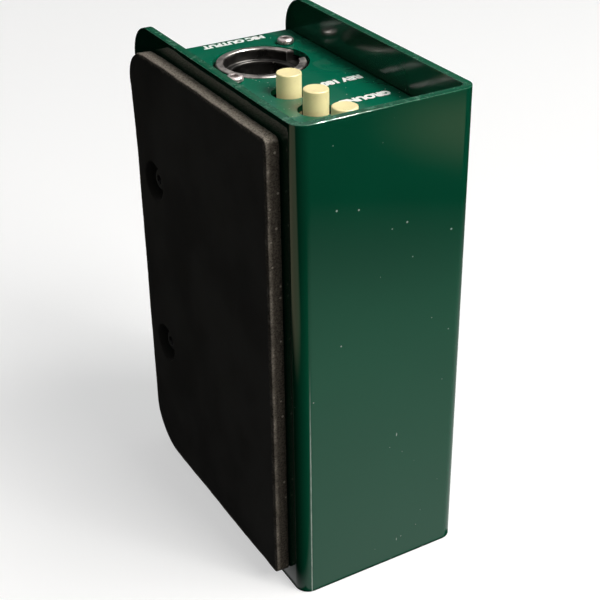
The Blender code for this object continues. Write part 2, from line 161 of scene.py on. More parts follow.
def rounded_rect(a0, a1, b0, b1, radii, steps=1):
    """Radii in the order low-low, high-low, high-high, low-high; 0 leaves a corner sharp."""
    points = []
    corners = ((a0, b0, 180), (a1, b0, 270), (a1, b1, 0), (a0, b1, 90))
    for (a, b, start), r in zip(corners, radii):
        if r <= 0:
            points.append((a, b))
            continue
        centre_a = a + r if a == a0 else a - r
        centre_b = b + r if b == b0 else b - r
        points += arc(centre_a, centre_b, r, start, start + 90, steps)
    return points


PLANES = {
    "YZ": lambda a, b, h: Vector((h, a, b)),
    "XY": lambda a, b, h: Vector((a, b, h)),
}


def pull(bm, grown, along):
    """Moves the new end of an extrusion to its place."""
    moved = [v for v in grown["geom"] if isinstance(v, bmesh.types.BMVert)]
    bmesh.ops.translate(bm, vec=along, verts=moved)


def prism(name, outline, low, high, plane):
    bm = bmesh.new()
    place = PLANES[plane]
    face = bm.faces.new([bm.verts.new(place(a, b, low)) for a, b in outline])
    grown = bmesh.ops.extrude_face_region(bm, geom=[face])
    pull(bm, grown, place(0, 0, high) - place(0, 0, low))
    return from_bm(name, bm)


def folded_sheet(name, path, low, high, thickness, plane):
    """A sheet folded along a path that follows its outer face."""
    bm = bmesh.new()
    place = PLANES[plane]
    line = [bm.verts.new(place(a, b, low)) for a, b in path]
    edges = [bm.edges.new(pair) for pair in zip(line, line[1:])]
    grown = bmesh.ops.extrude_edge_only(bm, edges=edges)
    pull(bm, grown, place(0, 0, high) - place(0, 0, low))
    mesh = bpy.data.meshes.new(name)
    bm.to_mesh(mesh)
    bm.free()
    obj = link(name, mesh)
    mod = obj.modifiers.new("thickness", "SOLIDIFY")
    mod.thickness = thickness
    mod.offset = -1.0
    mod.use_even_offset = True
    return obj


def lathe(name, profile, centre=(0, 0, 0), segments=72, turn=None):
    """Turns (radius, height) points about Z, then tips the form by a turn. A radius of 0 closes it."""
    on_axis = 1e-9
    bm = bmesh.new()
    rings = []
    for r, h in profile:
        if r < on_axis:
            rings.append([bm.verts.new((0, 0, h))])
            continue
        angles = [2 * math.pi * i / segments for i in range(segments)]
        rings.append([bm.verts.new((r * math.cos(a), r * math.sin(a), h)) for a in angles])
    pairs = list(zip(rings, rings[1:]))
    if profile[0][0] > on_axis:
        pairs.append((rings[-1], rings[0]))
    for a, b in pairs:
        for i in range(segments):
            j = (i + 1) % segments
            quad = [a[i % len(a)], a[j % len(a)], b[j % len(b)], b[i % len(b)]]
            unique = [v for k, v in enumerate(quad) if v not in quad[:k]]
            if len(unique) > 2:
                bm.faces.new(unique)
    if turn:
        bm.transform(turn)
    bm.transform(Matrix.Translation(Vector(centre)))
    return from_bm(name, bm)


def drill(obj, name, r, at, segments=32, axis="Z", reach=(-3 * MM, 6 * MM)):
    """Cuts a round hole along an axis, over a reach measured from a point."""
    low, high = reach
    turn = Matrix.Rotation(math.radians(90), 4, "Y") if axis == "X" else None
    profile = [(0, low), (r, low), (r, high), (0, high)]
    boolean(obj, lathe(name, profile, at, segments, turn))


def block(name, x, y, z):
    return prism(name, rounded_rect(*x, *y, (0,) * 4), *z, "XY")


# ---------------------------------------------------------------- materials


class Nodes:
    """A small builder for one Principled material. Texture scales are per metre."""

    def __init__(self, name, color, roughness, metallic=0.0, **fixed):
        self.mat = bpy.data.materials.new(name)
        self.mat.use_nodes = True
        self.tree = self.mat.node_tree
        self.shader = self.tree.nodes["Principled BSDF"]
        self.shader.inputs["Base Color"].default_value = (*color, 1)
        self.shader.inputs["Roughness"].default_value = roughness
        self.shader.inputs["Metallic"].default_value = metallic
        for key, value in fixed.items():
            self.shader.inputs[key.replace("_", " ")].default_value = value
        self.coords = self.tree.nodes.new("ShaderNodeTexCoord").outputs["Object"]
        self.height = None

    def put(self, kind, **inputs):
        """Adds a node. A key names one of its settings, an input, or an input by number, as in i0."""
        node = self.tree.nodes.new(kind)
        for key, value in inputs.items():
            if hasattr(node, key) and not isinstance(value, bpy.types.NodeSocket):
                setattr(node, key, value)
                continue
            name = int(key[1:]) if key[0] == "i" and key[1:].isdigit() else key.replace("_", " ")
            if isinstance(value, bpy.types.NodeSocket):
                self.tree.links.new(value, node.inputs[name])
            else:
                node.inputs[name].default_value = value
        return node

    def math(self, operation, a, b=0.0):
        return self.put("ShaderNodeMath", operation=operation, i0=a, i1=b).outputs[0]

    def times(self, a, b):
        return self.math("MULTIPLY", a, b)

    def plus(self, a, b):
        return self.math("ADD", a, b)

    def larger(self, a, b):
        return self.math("MAXIMUM", a, b)

    def off(self, value, centre):
        """How far a value is from a centre, either way."""
        return self.math("ABSOLUTE", self.math("SUBTRACT", value, centre))

    def swing(self, value, size):
        """A 0 to 1 pattern as a change of half a size either way."""
        return self.times(self.math("SUBTRACT", value, 0.5), size)

    def mapped(self, scale=(1, 1, 1), rotation=(0, 0, 0)):
        node = self.put("ShaderNodeMapping", i0=self.coords, Scale=scale, Rotation=rotation)
        return node.outputs[0]

    def noise(self, scale, detail=3.0, roughness=0.5, vector=None, distortion=0.0):
        node = self.put(
            "ShaderNodeTexNoise",
            Vector=vector or self.coords,
            Scale=scale,
            Detail=detail,
            Roughness=roughness,
            Distortion=distortion,
        )
        return node.outputs["Fac"]

    def ramp(self, value, low, high, to_low=0.0, to_high=1.0, smooth=True):
        node = self.put("ShaderNodeMapRange", Value=value)
        node.interpolation_type = "SMOOTHSTEP" if smooth else "LINEAR"
        limits = (("From Min", low), ("From Max", high), ("To Min", to_low), ("To Max", to_high))
        for name, v in limits:
            node.inputs[name].default_value = v
        return node.outputs[0]

    def mix(self, factor, a, b):
        node = self.put("ShaderNodeMix", data_type="RGBA")
        for index, value in ((0, factor), (6, a), (7, b)):
            if isinstance(value, bpy.types.NodeSocket):
                self.tree.links.new(value, node.inputs[index])
            else:
                node.inputs[index].default_value = (*value, 1) if index else value
        return node.outputs[2]

    def axis(self, name):
        return self.put("ShaderNodeSeparateXYZ", i0=self.coords).outputs[name]

    def distance(self, place):
        node = self.put("ShaderNodeVectorMath", operation="DISTANCE", i0=self.coords, i1=place)
        return node.outputs["Value"]

    def specks(self, scale, radius, share, vector=None, where=None):
        """Small round marks in a few cells of a Voronoi pattern."""
        space = vector or self.coords
        cell = self.put("ShaderNodeTexVoronoi", Vector=space, Scale=scale, Randomness=1.0)
        spot = self.ramp(cell.outputs["Distance"], radius, radius * 0.6)
        tone = self.put("ShaderNodeSeparateColor", i0=cell.outputs["Color"]).outputs[0]
        spot = self.times(spot, self.math("LESS_THAN", tone, share))
        return self.times(spot, where) if where else spot

    def bump(self, height, distance, strength=1.0):
        node = self.put("ShaderNodeBump", Height=height, Distance=distance, Strength=strength)
        if self.height:
            self.tree.links.new(self.height, node.inputs["Normal"])
        self.height = node.outputs[0]

    def set(self, name, socket):
        self.tree.links.new(socket, self.shader.inputs[name])

    def done(self):
        if self.height:
            self.tree.links.new(self.height, self.shader.inputs["Normal"])
        return self.mat


def shade(color, factor):
    return tuple(c * factor for c in color)


def enamel(name, color, dusty, roughness, film=0.0, inner_haze=0.0):
    """Glossy paint on steel: orange peel, smears, dust, short scratches and rubbed cut edges, and painted
    light: lighter low down, a painted highlight on the top cut edges, painted shadow at the foot.
    """
    n = Nodes(name, color, roughness)
    x, y, z = n.axis("X"), n.axis("Y"), n.axis("Z")
    chipped = 0.5
    spine_y = SHELL_LO.y

    mottle = n.ramp(n.noise(28.0, 2.0), 0.35, 0.68)
    base = n.mix(mottle, shade(color, 0.94), shade(color, 1.06))
    # Painted light: the paint grows lighter from about 105 mm down to 60 mm above the floor.
    painted_lower_light = n.ramp(z, 105 * MM, 60 * MM, 0.0, 0.55)
    base = n.mix(painted_lower_light, base, shade(color, 1.7))

    # Painted shadow: within 0.6 mm of the floor the paint darkens towards a fifth of its tone, a painted
    # contact shadow.
    painted_contact_shade = n.ramp(z, 0.6 * MM, 0.2 * MM, 0.0, 0.85)
    base = n.mix(painted_contact_shade, base, shade(color, 0.2))
    ends = n.ramp(z, SHELL_HI.z - 0.35 * MM, SHELL_HI.z - 0.05 * MM)
    rubbed = n.times(ends, n.ramp(n.noise(500.0, 5.0, 0.7), 0.5, 0.72))
    # Painted highlight: the top cut edges are painted lighter, towards 2.2 times the paint; the rubbed
    # patches over them are wear.
    base = n.mix(n.times(ends, 0.6), base, shade(color, 2.2))
    base = n.mix(n.times(rubbed, 0.35), base, (0.2, 0.36, 0.28))

    crease = n.ramp(n.off(x, CREASE_X), 0.2 * MM, 0.06 * MM)
    crease = n.times(crease, n.ramp(y, spine_y + 1.5 * MM, spine_y + 0.8 * MM))
    crease = n.times(crease, n.ramp(z, 70 * MM, 35 * MM, 0.0, 0.75))
    crease = n.times(crease, n.ramp(n.noise(300.0, 4.0), 0.25, 0.6, 0.6, 1.0))
    base = n.mix(crease, base, (0.5, 0.62, 0.54))
    if film:
        hazy = n.ramp(n.noise(55.0, 4.0, 0.6, distortion=0.8), 0.5, 0.7, 0.0, film)
        base = n.mix(hazy, base, (0.12, 0.19, 0.16))

    dust_zone = n.ramp(n.noise(48.0, 1.0), 0.5, 0.62)
    dust = n.specks(800.0, 0.14, dusty, where=dust_zone)
    chips = n.specks(160.0, 0.05, chipped)
    scratch_space = n.mapped(scale=(1.0, 1.0, 0.3), rotation=(0.5, 0.3, 0.0))
    scratches = n.specks(150.0, 0.03, chipped, vector=scratch_space)
    marks = n.larger(n.larger(dust, chips), scratches)
    n.set("Base Color", n.mix(n.times(marks, 0.7), base, (0.42, 0.52, 0.46)))

    smear_pattern = n.noise(38.0, 5.0, 0.65, distortion=1.5)
    smear = n.ramp(smear_pattern, 0.45, 0.78, roughness, roughness * 2.2)
    inner_face = SHELL_HALF.x - 0.45 * MM
    inside = n.ramp(n.off(x, SHELL_MID.x), inner_face, inner_face - 0.6 * MM)
    inside = n.times(inside, n.ramp(y, spine_y + 0.8 * MM, spine_y + 1.8 * MM))
    wear = n.plus(n.times(marks, 0.4), n.times(inside, inner_haze))
    n.set("Roughness", n.plus(smear, wear))
    n.bump(n.noise(240.0, 2.0), 0.01 * MM, 0.16)
    n.bump(marks, 0.01 * MM, 0.3)
    return n.done()


def rubber_pad(name):
    """Foam rubber: a near-black skin, and a brown-grey cut side that has gathered dust at its edges."""
    n = Nodes(name, (0.03, 0.029, 0.027), 0.9, Specular_IOR_Level=0.08)
    centre = (PAD_LO + PAD_HI) / 2
    half = (PAD_HI - PAD_LO) / 2
    past_y = n.math("SUBTRACT", n.off(n.axis("Y"), centre.y), half.y)
    past_z = n.math("SUBTRACT", n.off(n.axis("Z"), centre.z), half.z)
    ragged = n.swing(n.noise(380.0, 5.0, 0.75), 1.6 * MM)
    edge = n.plus(n.larger(past_y, past_z), ragged)

    skin = n.mix(n.ramp(n.noise(60.0, 4.0), 0.3, 0.7), (0.029, 0.028, 0.026), (0.047, 0.045, 0.041))
    lint = n.specks(600.0, 0.16, 0.03, where=n.ramp(n.noise(30.0), 0.5, 0.62))
    skin = n.mix(n.times(lint, 0.6), skin, (0.17, 0.16, 0.15))

    grain = n.noise(2400.0, 5.0, 0.72)
    foam = n.mix(n.ramp(grain, 0.32, 0.66), (0.018, 0.015, 0.012), (0.07, 0.06, 0.047))
    rim = n.ramp(edge, -1.6 * MM, -0.3 * MM)
    rim = n.times(rim, n.ramp(n.axis("X"), PAD_LO.x + 1.0 * MM, PAD_LO.x))
    rim = n.times(rim, n.ramp(n.noise(170.0, 4.0, 0.65), 0.34, 0.62, 0.25, 1.0))
    rim = n.times(rim, n.ramp(grain, 0.35, 0.6, 0.35, 1.0))
    dust = n.specks(520.0, 0.2, 0.38)
    topside = n.ramp(n.axis("Z"), PAD_HI.z - 1.2 * MM, PAD_HI.z - 0.4 * MM)
    topside = n.times(topside, n.ramp(grain, 0.4, 0.56, 0.25, 1.0))
    pale = n.larger(n.larger(rim, dust), topside)
    foam = n.mix(n.times(pale, 0.8), foam, (0.26, 0.23, 0.19))

    cut_side = n.ramp(edge, -1.3 * MM, -0.4 * MM)
    n.set("Base Color", n.mix(cut_side, skin, foam))
    n.set("Roughness", n.ramp(n.noise(120.0, 3.0), 0.3, 0.7, 0.82, 0.97))
    n.bump(n.noise(1500.0, 4.0, 0.7), 0.06 * MM, 0.4)
    cells = n.put("ShaderNodeTexVoronoi", Vector=n.coords, Scale=1300.0)
    n.bump(cells.outputs["Distance"], 0.05 * MM, 0.3)
    return n.done()


def cast_metal(name, dark, light, low_z, high_z):
    """Dark plated metal, rubbed bright between two heights, and darker still well below them, a painted
    shade deep in the cup.
    """
    n = Nodes(name, dark, 0.34, 0.9)
    z = n.axis("Z")
    rub = n.ramp(n.plus(z, n.swing(n.noise(350.0, 4.0), 1.1 * MM)), low_z, high_z)
    patch = n.ramp(n.noise(230.0, 5.0, 0.7), 0.32, 0.6, 0.25, 1.0)
    # Painted shade: from 2.2 to 2.8 mm below the rubbed band the metal darkens to a quarter, deep in the
    # socket's cup.
    depth = n.ramp(z, low_z - 2.2 * MM, low_z - 2.8 * MM)
    painted_deep_shade = n.mix(depth, dark, shade(dark, 0.25))
    n.set("Base Color", n.mix(n.times(rub, patch), painted_deep_shade, light))
    n.set("Roughness", n.ramp(n.noise(300.0, 4.0), 0.3, 0.7, 0.26, 0.46))
    n.bump(n.noise(1100.0, 4.0, 0.65), 0.03 * MM, 0.4)
    return n.done()


def bright_metal(name, color, roughness, brushed=(1, 1, 1)):
    """Plated or turned metal with fine lines and a little tarnish."""
    n = Nodes(name, color, roughness, 1.0)
    tarnish = (0.3, 0.26, 0.22)
    lines = n.noise(900.0, 3.0, 0.6, vector=n.mapped(scale=brushed))
    spots = n.ramp(n.noise(420.0, 5.0, 0.7), 0.5, 0.72)
    n.set("Base Color", n.mix(n.times(spots, 0.6), color, tarnish))
    n.set("Roughness", n.ramp(lines, 0.25, 0.75, roughness * 0.75, roughness * 1.6))
    n.bump(lines, 0.01 * MM, 0.4)
    return n.done()


def moulded(name, color, roughness, darkest=0.82, grain=900.0, soil=None, painted_glow=0.0):
    """Moulded plastic, slightly mottled and soiled. Painted glow is an emission in the plastic's own
    colour, painted light that brightens it evenly.
    """
    # Painted light: the emission makes the plastic glow faintly, though it is no lamp.
    n = Nodes(name, color, roughness, Emission_Color=(*color, 1), Emission_Strength=painted_glow)
    mottle = n.ramp(n.noise(240.0, 4.0), 0.3, 0.7)
    base = n.mix(mottle, shade(color, darkest), color)
    if soil:
        soiled = n.ramp(n.noise(600.0, 5.0, 0.7), 0.56, 0.7)
        base = n.mix(n.times(soiled, 0.4), base, soil)
    n.set("Base Color", base)
    n.set("Roughness", n.ramp(n.noise(500.0, 3.0), 0.3, 0.7, roughness * 0.85, roughness * 1.2))
    n.bump(n.noise(grain, 3.0), 0.02 * MM, 0.35)
    return n.done()


def circuit_board(name):
    """Green solder resist over a grid of tracks."""
    n = Nodes(name, (0.01, 0.14, 0.05), 0.35)
    flat = n.mapped(rotation=(0, math.radians(90), 0))
    grid = n.put("ShaderNodeTexBrick", Vector=flat, Scale=240.0, Mortar_Size=0.03)
    tracks = n.math("SUBTRACT", 1.0, grid.outputs["Fac"])
    copper = n.times(tracks, n.ramp(n.noise(60.0, 1.0), 0.45, 0.5))
    n.set("Base Color", n.mix(copper, (0.012, 0.17, 0.06), (0.006, 0.1, 0.035)))
    n.set("Roughness", n.ramp(n.noise(200.0), 0.3, 0.7, 0.28, 0.42))
    n.bump(tracks, 0.03 * MM, 0.4)
    return n.done()


def paint_white(name):
    """Printed ink, worn through here and there."""
    n = Nodes(name, (0.78, 0.8, 0.77), 0.4)
    worn = n.ramp(n.noise(1500.0, 4.0, 0.7), 0.64, 0.78)
    n.set("Base Color", n.mix(worn, (0.93, 0.94, 0.91), (0.3, 0.42, 0.36)))
    n.bump(n.noise(1800.0, 3.0), 0.01 * MM, 0.3)
    return n.done()


GREEN = (0.002, 0.057, 0.028)
PANEL_GREEN = (0.001, 0.13, 0.07)
PLATED_DARK, PLATED_LIGHT = (0.03, 0.028, 0.026), (0.34, 0.31, 0.29)
CREAM, CREAM_SOIL = (0.83, 0.72, 0.37), (0.6, 0.5, 0.25)
RUBBED_Z = (OUT_Z - 0.7 * MM, OUT_Z + 0.1 * MM)
M = {
    "cover": enamel("cover_paint", GREEN, 0.06, 0.045, inner_haze=0.1),
    "panel": enamel("panel_paint", PANEL_GREEN, 0.6, 0.09, film=0.25),
    "pad": rubber_pad("pad_rubber_worn"),
    "socket": cast_metal("socket_metal", PLATED_DARK, PLATED_LIGHT, *RUBBED_Z),
    "insert": moulded("insert_plastic", (0.013, 0.013, 0.014), 0.5),
    "pin": bright_metal("contact_plating", (0.82, 0.8, 0.74), 0.18),
    "zinc": bright_metal("zinc_plating", (0.4, 0.35, 0.34), 0.32),
    "black_screw": moulded("black_oxide", (0.007, 0.007, 0.008), 0.8),
    # The buttons' faint glow is painted light.
    "button": moulded("button_plastic", CREAM, 0.42, 0.95, 1400.0, CREAM_SOIL, painted_glow=0.14),
    "switch": moulded("switch_plastic", (0.16, 0.16, 0.17), 0.45),
    "jack": moulded("jack_plastic", (0.015, 0.015, 0.016), 0.42),
    "nickel": bright_metal("nickel_plating", (0.7, 0.67, 0.62), 0.2),
    "board": circuit_board("solder_resist"),
    "brass": bright_metal("brass_turned", (0.72, 0.56, 0.28), 0.28),
    "can": bright_metal("can_steel", (0.58, 0.58, 0.6), 0.3, brushed=(1, 1, 0.05)),
    "film": moulded("film_epoxy", (0.42, 0.05, 0.03), 0.3),
    "resistor": moulded("resistor_lacquer", (0.1, 0.26, 0.46), 0.35),
    "legend": paint_white("legend_ink"),
}


def piece(obj, mat, body=CASE, replaces=()):
    obj.data.materials.clear()
    obj.data.materials.append(M[mat])
    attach(obj, body)
    if replaces:
        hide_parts(*replaces)


# ---------------------------------------------------------------- steel work


def make_cover():
    """One sheet folded into a C with rounded ends, open on the far side."""
    x0, x1, y0, y1 = SHELL_LO.x, SHELL_HI.x, SHELL_LO.y, SHELL_HI.y
    r, past = BEND_R, 4 * MM
    near_fold = arc(x0 + r, y0 + r, r, 180, 270, 14)
    far_fold = arc(x1 - r, y0 + r, r, 270, 360, 14)
    path = [(x0, y1)] + near_fold + far_fold + [(x1, y1)]
    cover = folded_sheet("cover_shell", path[::-1], SHELL_LO.z, SHELL_HI.z, SHEET, "XY")
    side = rounded_rect(y0 - past, y1, SHELL_LO.z, SHELL_HI.z, (0, CORNER_R, CORNER_R, 0), 18)
    boolean(cover, prism("cover_trim", side, x0 - past, x1 + past, "YZ"), "INTERSECT")
    for i, at in enumerate(COVER_SCREWS):
        drill(cover, f"cover_cut_{i}", SCREW_HOLE_R, (x0, at.y, at.z), 40, "X")
    bevel(cover, COVER_EDGE_R, 4)
    piece(bake(cover), "cover", replaces=["outer_shell"])


def make_chassis():
    """Output panel, far side wall and input panel in one folded strip, with a mounting tab."""
    x0, x1, y0, y1 = CHASSIS_LO.x, CHASSIS_HI.x, CHASSIS_LO.y, CHASSIS_HI.y
    r = PANEL_BEND_R
    upper_fold = arc(y1 - r, OUT_Z - r, r, 90, 0, 12)
    lower_fold = arc(y1 - r, IN_Z + r, r, 0, -90, 12)
    path = [(y0, OUT_Z)] + upper_fold + lower_fold + [(y0, IN_Z)]
    chassis = folded_sheet("panel_chassis", path, x0, x1, PANEL_T, "YZ")
    boolean(chassis, block("flange", (x0, x0 + PANEL_T), (TAB_Y0, y1 - 0.6 * MM), TAB_Z), "UNION")
    past = 3 * MM
    plan = rounded_rect(x0, x1, y0, y1 + past, (PANEL_CORNER_R, PANEL_CORNER_R, 0, 0), 8)
    trim = prism("chassis_trim", plan, SHELL_LO.z - 5 * MM, SHELL_HI.z + 5 * MM, "XY")
    boolean(chassis, trim, "INTERSECT")
    holes = [("xlr_insert", OUT_Z, SOCKET_HOLE_R, 96)]
    holes += [(f"xlr_screw_{i}", OUT_Z, SCREW_HOLE_R, 32) for i in (1, 2)]
    holes += [(button, OUT_Z, BUTTON_HOLE_R, 48) for button in OUT_BUTTONS]
    holes += [(button, IN_Z, BUTTON_HOLE_R, 48) for button in IN_BUTTONS]
    holes += [(jack, IN_Z, JACK_HOLE_R, 48) for jack in JACKS]
    for i, (node, z, radius, segments) in enumerate(holes):
        at = (*middle(node).xy, z)
        drill(chassis, f"panel_cut_{i}", radius, at, segments, reach=(-4 * MM, 4 * MM))
    for i, at in enumerate(COVER_SCREWS):
        drill(chassis, f"tap_cut_{i}", SCREW_HOLE_R, (x0, at.y, at.z), axis="X")
    bevel(chassis, PANEL_EDGE_R, 2)
    piece(bake(chassis), "panel", replaces=["chassis"])


# ---------------------------------------------------------------- pad


def cut_in_strips(mesh, axis, low, high, pitch):
    """Adds edge loops across the mesh every pitch along an axis."""
    bm = bmesh.new()
    bm.from_mesh(mesh)
    normal = Vector([float(i == axis) for i in range(3)])
    for at in np.arange(low + pitch, high, pitch):
        geom = bm.verts[:] + bm.edges[:] + bm.faces[:]
        place = normal * float(at)
        bmesh.ops.bisect_plane(bm, geom=geom, dist=1e-7, plane_co=place, plane_no=normal)
    bm.to_mesh(mesh)
    bm.free()


def weather_pad(mesh, y, z):
    """Frays the pad's edges, waves its face and lifts its far top corner."""
    fray_depth, fray_in = 0.13 * MM, 1.5 * MM
    wave_height, crumb_height = 0.08 * MM, 0.03 * MM
    lift_y, lift_z = (12 * MM, 24 * MM), (92 * MM, 30 * MM)  # where the lift starts, and its run
    co = np.empty(len(mesh.vertices) * 3)
    mesh.vertices.foreach_get("co", co)
    co = co.reshape(-1, 3)
    mid_y, half_y = sum(y) / 2, (y[1] - y[0]) / 2
    mid_z, half_z = sum(z) / 2, (z[1] - z[0]) / 2
    noise.seed_set(5)  # noise_vector takes its offsets from the clock until it is seeded
    for p in co:
        at = Vector(p)
        outer = (PAD_HI.x - p[0]) / (PAD_HI.x - PAD_LO.x)
        rim = max(abs(p[1] - mid_y) - half_y, abs(p[2] - mid_z) - half_z)
        ragged = noise.noise_vector(at * 480.0)
        if rim > -fray_in:
            p[1] += fray_depth * ragged[1]
            p[2] += fray_depth * ragged[2]
        wave = wave_height * (noise.noise(at * 90.0) + 1.0) + crumb_height * ragged[0]
        lift = max(0.0, (p[1] - lift_y[0]) / lift_y[1]) * max(0.0, (p[2] - lift_z[0]) / lift_z[1])
        p[0] += wave * outer - PAD_LIFT * min(lift, 1.4) ** 1.5
    mesh.vertices.foreach_set("co", co.ravel())
    mesh.update()


def make_pad():
    """A sheet of foam rubber: soft uneven edges, and a far top corner that has lifted a little."""
    y, z = (PAD_LO.y - 0.4 * MM, PAD_HI.y), (PAD_LO.z, PAD_HI.z)
    near_r, foot_r = 1.6 * MM, 12.5 * MM
    outline = rounded_rect(*y, *z, (near_r, foot_r, CORNER_R, near_r), 14)
    pad = prism("no_slip_foam", outline, PAD_LO.x - GAP, PAD_HI.x, "YZ")
    for i, at in enumerate(COVER_SCREWS):
        drill(pad, f"pad_cut_{i}", PAD_HOLE_R, (PAD_LO.x, at.y, at.z), 64, "X")
    bevel(pad, 0.7 * MM, 4)
    bake(pad, weighted=False)
    pitch = 1.3 * MM
    cut_in_strips(pad.data, 1, *y, pitch)
    cut_in_strips(pad.data, 2, *z, pitch)
    weather_pad(pad.data, y, z)
    pad.data.shade_smooth()
    piece(pad, "pad", replaces=["no_slip_pad"])


# ---------------------------------------------------------------- screws


FACING = {"Z": Matrix.Identity(4), "-X": Matrix.Rotation(math.radians(-90), 4, "Y")}
CROWN = ((0.66, 1.0), (0.78, 0.96), (0.89, 0.85), (0.97, 0.68), (1.0, 0.48), (1.0, 0.06), (0.97, 0.0))


def screw(name, node, mat, head, facing, seat):
    """A button-head screw with a hex socket and a threaded shank, turned to face along an axis."""
    head_r, head_h = head
    thread_r, root_r, tip_r = 1.45 * MM, 1.2 * MM, 1.0 * MM
    pitch, groove = 0.5 * MM, 0.18 * MM
    low, high = span(node)
    shank = max(high - low) - head_h
    profile = [(0, head_h)] + [(head_r * a, head_h * b) for a, b in CROWN]
    for h in np.arange(0.2 * MM, shank - 0.9 * MM, pitch):
        profile += [(thread_r, -h), (root_r, -h - groove), (thread_r, -h - 2 * groove)]
    profile += [(tip_r, -shank), (0, -shank)]
    made = lathe(name, profile, segments=48)
    key_r = head_r * 0.46
    drive = [(0, -0.6 * MM), (key_r, -0.4 * MM), (key_r, head_h * 1.5), (0, head_h * 1.5)]
    boolean(made, lathe(f"{name}_drive", drive, segments=6))
    bevel(made, 0.06 * MM, 2, 50)
    bake(made)
    made.data.transform(Matrix.Translation(seat) @ FACING[facing])
    piece(made, mat, replaces=[node])


def make_screws():
    cover_head = (3.0 * MM, 1.9 * MM)
    socket_head = (2.2 * MM, 1.25 * MM)
    for i in (1, 2):
        node = f"shell_screw_{i}"
        at = middle(node)
        seat = Vector((SHELL_LO.x - GAP, at.y, at.z))
        screw(f"cover_screw_{i}", node, "black_screw", cover_head, "-X", seat)
        node = f"xlr_screw_{i}"
        at = middle(node)
        seat = Vector((at.x, at.y, OUT_Z + GAP))
        screw(f"socket_screw_{i}", node, "zinc", socket_head, "Z", seat)


# ---------------------------------------------------------------- output socket


def make_socket():
    """The output connector: a ring level with the panel, a narrower cup below it, and a screwed flange."""
    low, high = span("xlr_housing")
    top, back = high.z, low.z
    bore, inner, ring = 9.65 * MM, 7.8 * MM, 11.6 * MM
    cup_wall = 1.6 * MM
    step = OUT_Z - 2.9 * MM
    plate_high = OUT_Z - PANEL_T - GAP
    plate_low = plate_high - 2.4 * MM
    shoulder = plate_low + 0.3 * MM
    outer_r, inner_r, fillet_r = 0.5 * MM, 0.35 * MM, 0.3 * MM

    outside = [(inner + cup_wall, back), (inner + cup_wall, shoulder), (ring, shoulder)]
    rim = arc(ring - outer_r, top - outer_r, outer_r, 0, 90, 6)
    rim += arc(bore + inner_r, top - inner_r, inner_r, 90, 180, 5)
    ledge = [(bore, step + 0.7 * MM)]
    ledge += arc(bore - fillet_r, step + fillet_r, fillet_r, 0, -90, 6)
    ledge += [(inner + 0.75 * MM, step)]
    lip = arc(inner + inner_r, step - 0.05 * MM, inner_r, 80, 180, 6)
    profile = outside + rim + ledge + lip + [(inner, back)]
    housing = lathe("socket_housing", profile, (SOCKET.x, SOCKET.y, 0), 120)

    outline = rounded_rect(low.x, high.x, low.y, high.y, (3 * MM,) * 4, 8)
    plate = prism("socket_flange", outline, plate_low, plate_high, "XY")
    drill(plate, "socket_flange_bore", ring - 0.6 * MM, (SOCKET.x, SOCKET.y, plate_low), 96)
    boolean(housing, plate, "UNION")
    for i in (1, 2):
        at = middle(f"xlr_screw_{i}")
        drill(housing, f"socket_tap_{i}", SCREW_HOLE_R, (at.x, at.y, plate_low))
    key_x = (SOCKET.x + 8.4 * MM, SOCKET.x + 13.0 * MM)
    key_y = (SOCKET.y - 3.0 * MM, SOCKET.y + 3.0 * MM)
    boolean(housing, block("key_slot", key_x, key_y, (step + 0.3 * MM, top + 2 * MM)))
    bevel(housing, 0.12 * MM, 2, 60)
    piece(bake(housing), "socket", replaces=["xlr_housing"])


def make_insert():
    """The insulator with a raised rim, and a seat for each contact."""
    low, high = span("xlr_insert")
    r, top = (high.x - low.x) / 2, high.z
    floor = top - 0.4 * MM
    profile = [(0, floor), (r * 0.86, floor), (r * 0.9, top), (r - 0.2 * MM, top)]
    profile += [(r, top - 0.3 * MM), (r, low.z), (0, low.z)]
    insert = lathe("socket_insert", profile, (SOCKET.x, SOCKET.y, 0), 72)
    for i in (1, 2, 3):
        at = middle(f"xlr_pin_{i}")
        seat = (at.x, at.y, low.z)
        drill(insert, f"pin_seat_{i}", 1.5 * MM, seat, reach=(-2 * MM, 12 * MM))
    bevel(insert, 0.12 * MM, 2, 40)
    piece(bake(insert), "insert", replaces=["xlr_insert"])


def make_contact(i):
    """A round pin with an oval nose and a narrower tail."""
    low, high = span(f"xlr_pin_{i}")
    at = middle(f"xlr_pin_{i}")
    r = (high.x - low.x) / 2
    tail_r, nose_h = r * 0.8, r * 1.1
    angles = np.linspace(0, math.pi / 2, 8)[1:]
    nose = [(r * math.sin(a), high.z - nose_h + nose_h * math.cos(a)) for a in angles]
    body = [(r, low.z + 5.2 * MM), (tail_r, low.z + 5.0 * MM), (tail_r, low.z), (0, low.z)]
    pin = lathe(f"socket_contact_{i}", [(0, high.z)] + nose + body, (at.x, at.y, 0), 40)
    piece(bake(pin), "pin", replaces=[f"xlr_pin_{i}"])


# ---------------------------------------------------------------- buttons and jacks


def make_button(node, up):
    """Round cap with a softened edge and a shallow dish, on a square stem."""
    low, high = span(node)
    at = middle(node)
    r = (high.x - low.x) / 2
    face = high.z if up else low.z
    length, soft, half_stem = 10.7 * MM, 0.3 * MM, 1.5 * MM
    dish = [(0, -0.12 * MM), (r * 0.5, -0.1 * MM), (r * 0.78, -0.03 * MM)]
    edge = arc(r - soft, -soft, soft, 90, 0, 5)
    skirt = [(r, -length + soft), (r - soft, -length), (0, -length)]
    cap = lathe(node.replace("button", "cap"), dish + edge + skirt)
    across = (-half_stem, half_stem)
    stem = block(f"{node}_stem", across, across, (low.z - high.z, -length + 0.8 * MM))
    boolean(cap, stem, "UNION")
    bevel(cap, 0.15 * MM, 2, 60)
    bake(cap)
    turn = Matrix.Identity(4) if up else Matrix.Rotation(math.pi, 4, "X")
    cap.data.transform(Matrix.Translation((at.x, at.y, face)) @ turn)
    piece(cap, "button", node.replace("_button", "_key"), [node])


